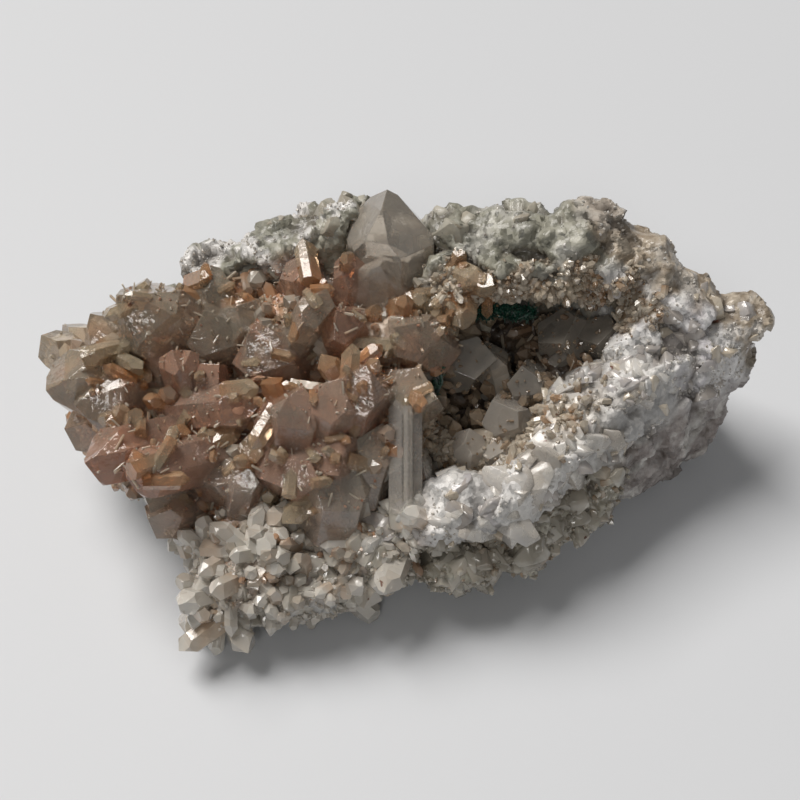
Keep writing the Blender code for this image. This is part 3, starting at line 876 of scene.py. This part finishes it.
# Peak crystals and clear prism: the big smooth grey crystal on top of the back ridge, the shorter one
# in front of it, and the tall clear prism at the hollow's left edge, with a bright sliver grown on it.
PEAK_CRYSTALS = [((-2.5, 12, 25), 90, 70, 15, 12, 11, 15), ((-4, 10.5, 26), -80, 70, 9.5, 9, 8, 0)]
TALL_PRISM = ((-0.3, -15.5, 17), 90, 38, 13, 5.5, 4.5, 0)
crystals(
    "peak_crystals",
    PEAK_CRYSTALS,
    replaced=["peak_crystal"],
    finish=grey_quartz,
)
SLIVER = ((0.2, -17.8, 18.2), 90, 38, 12.5, 1.5, 1.2, 0)
crystals(
    "clear_prism",
    [TALL_PRISM, SLIVER],
    replaced=["tall_prism"],
    finish=clear_quartz,
    first_seed=640,
)


# Hollow crystals: blocky crystals of smoky quartz, grown inwards from the hollow's floor and walls.
# Their colour is painted dim, as shade, because little light reaches them, and darkest at the back.
HOLLOW_CRYSTALS = [
    ((5, 5, 17.5), -20, 30, 9, 7.5, 7, 0),
    ((13, 2, 13.5), 125, 65, 9.5, 5.5, 5, 20),
    ((18, 1.5, 14.5), 170, 70, 7, 6, 5.5, 0),
    ((15, -3, 13), 170, 60, 7, 7, 6.5, 10),
    ((19, 4, 17), 10, 50, 6, 2.2, 2.2, 0),
    ((10.5, 4.5, 16), -160, 30, 5.5, 1.8, 1.8, 0),
    ((22, 9, 19), -100, 40, 7, 8, 7, 10),
    ((27, 7, 20.5), -110, 40, 5, 7, 6, 0),
    ((8, -9, 12.5), 80, 60, 6, 5, 4.5, 20),
    ((12, -8, 12.5), -60, 70, 5, 4.5, 4, 0),
]
# Painted shade: darker colours and a strong Dark input.
dim_quartz = crystal_finish(
    "dim crystal",
    clear=(0.90, 0.74, 0.54),
    cloudy=(0.95, 0.84, 0.67),
    stained=(0.60, 0.34, 0.18),
    stain_span=(0.6, 1.5),
    smooth=0.06,
    transmission=0.60,
    absorbed=(0.86, 0.74, 0.60),
    density=25,
    dark=0.62,
)
crystals(
    "hollow_crystals",
    HOLLOW_CRYSTALS,
    replaced=["hollow_crust"],
    finish=dim_quartz,
    shades=(-4, 3, 6),
)


# Small growths: a few shapes of quartz, each strewn over the rock or the large crystals by the hundred.
# It stands square to what it grew on but for a spread, and is set in it by a part of its width.
def shape_of(block, length=None):
    """A small shape's mesh, one unit wide, with a large crystal's layers. A fragment has no length."""
    block.verts.layers.float.new("edge")
    for key in ("along", "rise", "tint_and_shade", "own_stain"):
        layer = block.verts.layers.float.new(key)
        for vert in block.verts:
            if key == "rise":
                vert[layer] = vert.co.z / length if length else 1
            else:
                vert[layer] = vert.co.z
    mesh = bpy.data.meshes.new("small shape")
    block.to_mesh(mesh)
    block.free()
    return mesh


def small_crystals(count, slender, seed):
    """Crystals one unit wide, of this range of lengths."""
    dice = random.Random(seed)
    made = []
    for _ in range(count):
        length = dice.uniform(*slender)
        planes = crystal_planes(length, 1, dice.uniform(0.7, 1), dice, 0.4, flat_tips=True)
        made.append(shape_of(block_of(planes, 2.5 * length), length))
    return made


def fragments(count, cuts, flat, seed, rounded=0.0):
    """Angular fragments one unit wide: a cube with its corners struck off, rounded if asked."""
    dice = random.Random(seed)
    made = []
    for _ in range(count):
        planes = []
        for _ in range(cuts):
            normal = Vector((dice.gauss(0, 1), dice.gauss(0, 1), dice.gauss(0, 1))).normalized()
            planes.append((normal, dice.uniform(0.34, 0.5) * (1 - (1 - flat) * abs(normal.z))))
        block = block_of(planes, 0.5)
        if rounded:
            bmesh.ops.bevel(
                block,
                geom=block.edges[:],
                offset=rounded,
                segments=1,
                profile=0.5,
                affect="EDGES",
                clamp_overlap=True,
                material=-1,
            )
            for face in block.faces:
                face.smooth = True
        made.append(shape_of(block))
    return made


def ground_of(mesh):
    """A mesh's triangles: their corners in millimetres, areas, normals and corner numbers."""
    mesh.calc_loop_triangles()
    numbers = np.empty(len(mesh.loop_triangles) * 3, np.int32)
    mesh.loop_triangles.foreach_get("vertices", numbers)
    numbers = numbers.reshape(-1, 3)
    corners = (corners_of(mesh) / MM)[numbers]
    cross = np.cross(corners[:, 1] - corners[:, 0], corners[:, 2] - corners[:, 0])
    double = np.linalg.norm(cross, axis=1)
    return corners, double / 2, cross / np.maximum(double, 1e-9)[:, None], numbers


MORE_SMALL_ONES = 1.6


def strewn(
    name, ground, weight, count, widths, shapes, seed, finish, spread=0.35, sunk=0.0, replaced=()
):
    """Small shapes over the ground as one mesh, thicker where the weight of its triangles is higher."""
    corners, areas, facing, _ = ground
    dice = np.random.default_rng(seed)
    share = areas * weight
    picks = dice.choice(len(areas), count, p=share / share.sum())
    pile = bmesh.new()
    for pick in picks:
        mix = dice.dirichlet((1, 1, 1))
        spot = Vector(mix @ corners[pick])
        size = widths[0] * (widths[1] / widths[0]) ** (dice.random() ** MORE_SMALL_ONES)
        axis = Vector(facing[pick] + spread * dice.normal(size=3)).normalized()
        spot -= sunk * size * axis
        turned = axis.to_track_quat("Z", "Y").to_matrix().to_4x4()
        turned = turned @ Matrix.Rotation(dice.uniform(0, 6.3), 4, "Z")
        placed = Matrix.Translation(spot * MM) @ turned @ Matrix.Scale(size * MM, 4)
        shape = shapes[dice.integers(len(shapes))]
        for key in ("tint_and_shade", "own_stain"):
            values = shape.attributes[key].data
            values.foreach_set("value", np.full(len(values), dice.random(), np.float32))
        shape.transform(placed)
        pile.from_mesh(shape)
        shape.transform(placed.inverted())
    for vert in pile.verts:
        vert.co.z = max(vert.co.z, ABOVE_TABLE * MM)
    return finished(name, pile, finish, replaced)


BARE_BASE = 2.5
corners, areas, _, numbers = ground_of(fine)
rock_ground = (corners, areas, normals[numbers].mean(axis=1), numbers)
middle = corners.mean(axis=1)
clear_of_base = middle[:, 2] > BARE_BASE
on_rock = {name: values[numbers].mean(axis=1) * clear_of_base for name, values in region.items()}


# Between the large crystals: smaller ones of the same smoky quartz that fill their bed or cross them,
# rusty grains and specks, and thin golden prisms lying at all angles.
small_prisms = small_crystals(8, slender=(1.1, 1.9), seed=22)
rods = small_crystals(6, slender=(3.5, 6.5), seed=23)
sugar_grains = fragments(6, cuts=10, flat=0.8, seed=24)
smoky_small = crystal_finish(
    "small smoky crystal",
    clear=(0.74, 0.66, 0.56),
    cloudy=(0.80, 0.74, 0.66),
    stained=(0.64, 0.36, 0.20),
    stain_span=(0.4, 1.0),
    smooth=0.12,
    transmission=0.5,
)
rusty = crystal_finish(
    "rusty grain",
    clear=(0.72, 0.50, 0.34),
    cloudy=(0.80, 0.66, 0.52),
    stained=(0.45, 0.18, 0.08),
    stain_span=(0.5, 1.1),
    smooth=0.15,
    transmission=0.3,
)
golden = crystal_finish(
    "golden prism",
    clear=(0.86, 0.76, 0.62),
    cloudy=(0.90, 0.84, 0.74),
    stained=(0.70, 0.46, 0.28),
    stain_span=(0.7, 1.3),
    smooth=0.06,
    transmission=0.45,
)
strewn(
    "smoky_filling",
    rock_ground,
    on_rock["cluster"],
    count=460,
    widths=(0.8, 2.4),
    shapes=small_prisms,
    seed=41,
    finish=smoky_small,
)
strewn(
    "rusty_grains",
    rock_ground,
    on_rock["stain"] ** 2,
    count=2600,
    widths=(0.3, 0.9),
    shapes=sugar_grains,
    seed=42,
    finish=rusty,
)
cluster_ground = ground_of(nodes["crystal_cluster"].data)
on_top = np.clip(cluster_ground[2][:, 2], 0, 1)
tiny = small_crystals(5, slender=(0.9, 1.6), seed=27)
strewn(
    "tiny_crystals",
    cluster_ground,
    on_top,
    count=240,
    widths=(0.2, 0.55),
    shapes=tiny,
    seed=54,
    finish=golden,
    spread=0.5,
)
slender_prisms = small_crystals(12, slender=(1.3, 2.4), seed=28)
pale_smoky = crystal_finish(
    "pale smoky crystal",
    clear=(0.90, 0.74, 0.51),
    cloudy=(0.94, 0.81, 0.61),
    stained=(0.78, 0.34, 0.12),
    stain_span=(0.25, 1.4),
    smooth=0.045,
    transmission=0.68,
)
cluster_middle = cluster_ground[0].mean(axis=1)
inside = on_top * (cluster_middle[:, 1] > -20) * (cluster_middle[:, 0] > -41)
strewn(
    "crossing_crystals",
    cluster_ground,
    inside,
    count=150,
    widths=(1.0, 3.4),
    shapes=slender_prisms,
    seed=55,
    finish=pale_smoky,
    spread=0.9,
    sunk=0.5,
)
gold_places = on_rock["cluster"] + 0.25 * on_rock["lip"] + 0.8 * on_rock["hollow"]
strewn(
    "golden_prisms",
    rock_ground,
    gold_places,
    count=460,
    widths=(0.22, 0.5),
    shapes=rods,
    seed=43,
    finish=golden,
    spread=0.7,
)
strewn(
    "golden_rods",
    cluster_ground,
    inside,
    count=260,
    widths=(0.18, 0.4),
    shapes=rods,
    seed=59,
    finish=golden,
    spread=1.3,
    sunk=1.2,
)
speck = crystal_finish(
    "rust speck",
    clear=(0.34, 0.10, 0.04),
    cloudy=(0.42, 0.15, 0.06),
    stained=(0.20, 0.04, 0.02),
    stain_span=(0.5, 1.2),
    smooth=0.4,
    transmission=0.1,
)
strewn(
    "rust_specks",
    cluster_ground,
    inside,
    count=260,
    widths=(0.18, 0.5),
    shapes=sugar_grains,
    seed=60,
    finish=speck,
    spread=0.5,
)


# Fringe: icy lumps of quartz fused together at the front left, with small clear crystals standing out
# of them and sugary grains between.
lumpy = fragments(10, cuts=12, flat=0.8, seed=25, rounded=0.09)
slabs = fragments(10, cuts=12, flat=0.5, seed=26, rounded=0.06)
icy_lump = crystal_finish(
    "icy lump",
    clear=(0.98, 0.93, 0.82),
    cloudy=(1.0, 0.97, 0.91),
    stained=(0.80, 0.55, 0.34),
    stain_span=(0.7, 1.4),
    smooth=0.08,
    transmission=0.4,
    dark=0.2,
)
clear_small = crystal_finish(
    "small clear crystal",
    clear=(0.98, 0.94, 0.86),
    cloudy=(1.0, 0.98, 0.94),
    stained=(0.86, 0.62, 0.42),
    stain_span=(0.8, 1.5),
    smooth=0.05,
    transmission=0.42,
)
strewn(
    "fringe_lumps",
    rock_ground,
    on_rock["fringe"],
    count=130,
    widths=(1.8, 4.8),
    shapes=lumpy,
    seed=44,
    finish=icy_lump,
    spread=0.3,
    sunk=0.34,
    replaced=["front_fringe"],
)
strewn(
    "fringe_crystals",
    rock_ground,
    on_rock["fringe"],
    count=330,
    widths=(0.8, 3.6),
    shapes=small_prisms,
    seed=45,
    finish=clear_small,
    spread=0.8,
    sunk=0.2,
)
strewn(
    "fringe_sugar",
    rock_ground,
    on_rock["fringe"],
    count=1300,
    widths=(0.25, 0.8),
    shapes=tiny,
    seed=63,
    finish=clear_small,
    spread=0.9,
)


# White crust: broken icy blocks of quartz run together along the hollow's lower rim, white, lilac and
# cream. White sugary grains lie between them and over the left of the ridge.
white_ice = crystal_finish(
    "white ice",
    clear=(0.80, 0.79, 0.765),
    cloudy=(0.93, 0.92, 0.90),
    stained=(0.80, 0.72, 0.60),
    stain_span=(1.0, 1.5),
    smooth=0.25,
    transmission=0.3,
    coat=0.3,
)
white_places = on_rock["white"]
strewn(
    "white_blocks",
    rock_ground,
    white_places,
    count=90,
    widths=(2.4, 6.2),
    shapes=slabs,
    seed=46,
    finish=white_ice,
    spread=0.16,
    sunk=0.22,
    replaced=["white_crust"],
)
lilac_ice = crystal_finish(
    "lilac ice",
    clear=(0.60, 0.58, 0.595),
    cloudy=(0.76, 0.745, 0.75),
    stained=(0.60, 0.54, 0.48),
    stain_span=(0.8, 1.5),
    smooth=0.12,
    transmission=0.28,
)
icy_places = white_places + 0.8 * on_rock["face"]
strewn(
    "lilac_blocks",
    rock_ground,
    icy_places,
    count=90,
    widths=(1.8, 5.0),
    shapes=slabs,
    seed=64,
    finish=lilac_ice,
    spread=0.16,
    sunk=0.22,
)
cream_ice = crystal_finish(
    "cream ice",
    clear=(0.78, 0.69, 0.56),
    cloudy=(0.88, 0.82, 0.71),
    stained=(0.56, 0.42, 0.28),
    stain_span=(0.7, 1.4),
    smooth=0.12,
    transmission=0.28,
)
strewn(
    "cream_blocks",
    rock_ground,
    icy_places,
    count=50,
    widths=(1.4, 4.0),
    shapes=slabs,
    seed=65,
    finish=cream_ice,
    spread=0.2,
    sunk=0.2,
)
strewn(
    "white_sugar",
    rock_ground,
    on_rock["snow"],
    count=3700,
    widths=(0.2, 0.5),
    shapes=sugar_grains,
    seed=47,
    finish=white_ice,
    spread=0.5,
)


# Ledge under the white crust: yellow-grey lumps of quartz, clearer than the crust and fused to the
# rock, with fine grains between them.
ledge_lump = crystal_finish(
    "ledge lump",
    clear=(0.96, 0.91, 0.78),
    cloudy=(0.98, 0.95, 0.87),
    stained=(0.70, 0.46, 0.27),
    stain_span=(0.7, 1.3),
    smooth=0.1,
    transmission=0.42,
    dark=0.3,
)
strewn(
    "ledge_lumps",
    rock_ground,
    on_rock["ledge"],
    count=150,
    widths=(2.0, 5.0),
    shapes=lumpy,
    seed=48,
    finish=ledge_lump,
    spread=0.3,
    sunk=0.32,
)
strewn(
    "ledge_grains",
    rock_ground,
    on_rock["ledge"],
    count=700,
    widths=(0.25, 0.9),
    shapes=tiny,
    seed=66,
    finish=ledge_lump,
    spread=0.7,
)


# Upper lip: a glittering crust of quartz grains along the hollow's upper edge, cream to white and brown
# where dirt lies between them. Small smoky crystals stand in its left end.
lip_bead = crystal_finish(
    "lip grain",
    clear=(0.72, 0.62, 0.49),
    cloudy=(0.84, 0.79, 0.71),
    stained=(0.44, 0.28, 0.16),
    stain_span=(0.6, 1.2),
    smooth=0.1,
    transmission=0.35,
)
lip_left = on_rock["lip"] * ramp(-middle[:, 0], -14, -8)
strewn(
    "lip_crystals",
    rock_ground,
    lip_left,
    count=60,
    widths=(1.6, 3.6),
    shapes=small_prisms,
    seed=58,
    finish=pale_smoky,
    spread=0.5,
    sunk=0.3,
)
strewn(
    "lip_grains",
    rock_ground,
    on_rock["lip"],
    count=1900,
    widths=(0.3, 1.0),
    shapes=small_prisms,
    seed=49,
    finish=lip_bead,
    spread=0.6,
    sunk=0.1,
    replaced=["lip_druse"],
)


# Inside the hollow: small crystals and fine grains, painted dim as shade, that grew on its floor, walls
# and crystals, and paler lumps and grains on the sill at its front and along its rim, where light reaches
# them.
# Painted shade: the small crystals in the hollow get darker colours.
dim_small = crystal_finish(
    "shaded hollow crystal",
    clear=(0.52, 0.39, 0.27),
    cloudy=(0.64, 0.50, 0.36),
    stained=(0.36, 0.20, 0.11),
    stain_span=(0.6, 1.4),
    smooth=0.06,
    transmission=0.55,
)
strewn(
    "hollow_lining",
    rock_ground,
    on_rock["hollow"] ** 2,
    count=230,
    widths=(0.7, 2.4),
    shapes=small_prisms,
    seed=50,
    finish=dim_small,
)
strewn(
    "rim_grains",
    rock_ground,
    on_rock["rim"],
    count=260,
    widths=(0.3, 1.2),
    shapes=small_prisms,
    seed=61,
    finish=golden,
    spread=0.7,
)
hollow_ground = ground_of(nodes["hollow_crust"].data)
strewn(
    "hollow_dust",
    hollow_ground,
    np.ones(len(hollow_ground[1])),
    count=560,
    widths=(0.2, 0.7),
    shapes=tiny,
    seed=62,
    finish=dim_small,
    spread=0.6,
)
strewn(
    "porch_lumps",
    rock_ground,
    on_rock["porch"],
    count=110,
    widths=(1.6, 4.2),
    shapes=lumpy,
    seed=56,
    finish=golden,
    spread=0.4,
    sunk=0.25,
)
strewn(
    "porch_grains",
    rock_ground,
    on_rock["porch"],
    count=1300,
    widths=(0.3, 1.1),
    shapes=small_prisms,
    seed=57,
    finish=lip_bead,
    spread=0.6,
)


# Ridge and back: smooth worn lumps of grey quartz along the top of the specimen and down its back,
# grown against each other and set deep in the rock.
ridge_lump = crystal_finish(
    "ridge lump",
    clear=(0.49, 0.475, 0.40),
    cloudy=(0.64, 0.62, 0.55),
    stained=(0.56, 0.50, 0.40),
    stain_span=(0.8, 1.2),
    smooth=0.42,
    transmission=0.3,
    coat=0.15,
)
back_places = on_rock["ridge"] + 0.5 * (middle[:, 1] > 10) * clear_of_base
back_places = back_places * (1 - on_rock["lip"]) * (1 - on_rock["tan"]) * (middle[:, 1] < 21.5)
strewn(
    "ridge_lumps",
    rock_ground,
    back_places,
    count=100,
    widths=(2.5, 6.5),
    shapes=lumpy,
    seed=51,
    finish=ridge_lump,
    spread=0.1,
    sunk=0.4,
)


# Green growths: mats of fine dark green needles, one row under the upper lip and one blade at the
# hollow's left. Each has a core, grown over with needles.
GREEN_TUFT = [
    ((8, 7, 25.5), (4.5, 3, 2.5), 10),
    ((11, 7.5, 26), (4, 3, 2.5), 30),
    ((14, 7.5, 26), (4, 3, 3), 0),
    ((16.5, 7, 26), (3, 2.5, 2), 20),
]
GREEN_BLADE = [
    (2.6, 4, 27.5),
    (3.6, 2, 25.5),
    (4.2, -1.5, 22.5),
    (3.2, -3.5, 20.5),
    (2.2, -1.5, 21.5),
    (2.4, 2, 24.5),
]
BLADE_THICKNESS = 0.9
green_finish, tree, shader = new_material("green mineral")
green, _ = mottled(tree, 0.6, (0.002, 0.018, 0.012), (0.010, 0.085, 0.052), shift=39.0)
connect(tree, green, shader.inputs["Base Color"])
shader.inputs["Roughness"].default_value = 0.4
shader.inputs["Coat Weight"].default_value = 0.3


def green_mat(name, fill, seed, count, replaced):
    """A core covered with needles, both in place of a CAD node."""
    core = bmesh.new()
    fill(core)
    bmesh.ops.recalc_face_normals(core, faces=core.faces)
    bmesh.ops.triangulate(core, faces=core.faces)
    core_piece = finished(name + "_core", core, green_finish, [replaced])
    ground = ground_of(core_piece.data)
    everywhere = np.ones(len(ground[1]))
    strewn(
        name + "_needles",
        ground,
        everywhere,
        count=count,
        widths=(0.12, 0.22),
        shapes=rods,
        seed=seed,
        finish=green_finish,
        spread=0.8,
        sunk=1.0,
    )


green_mat(
    "green_tuft",
    lambda shape: stones(shape, GREEN_TUFT, 16, -0.3),
    seed=52,
    count=900,
    replaced="green_tuft",
)
blade = [(bx + side * BLADE_THICKNESS / 2, by, bz) for bx, by, bz in GREEN_BLADE for side in (-1, 1)]
green_mat(
    "green_blade",
    lambda shape: hull(shape, blade, 0.4),
    seed=53,
    count=420,
    replaced="green_blade",
)
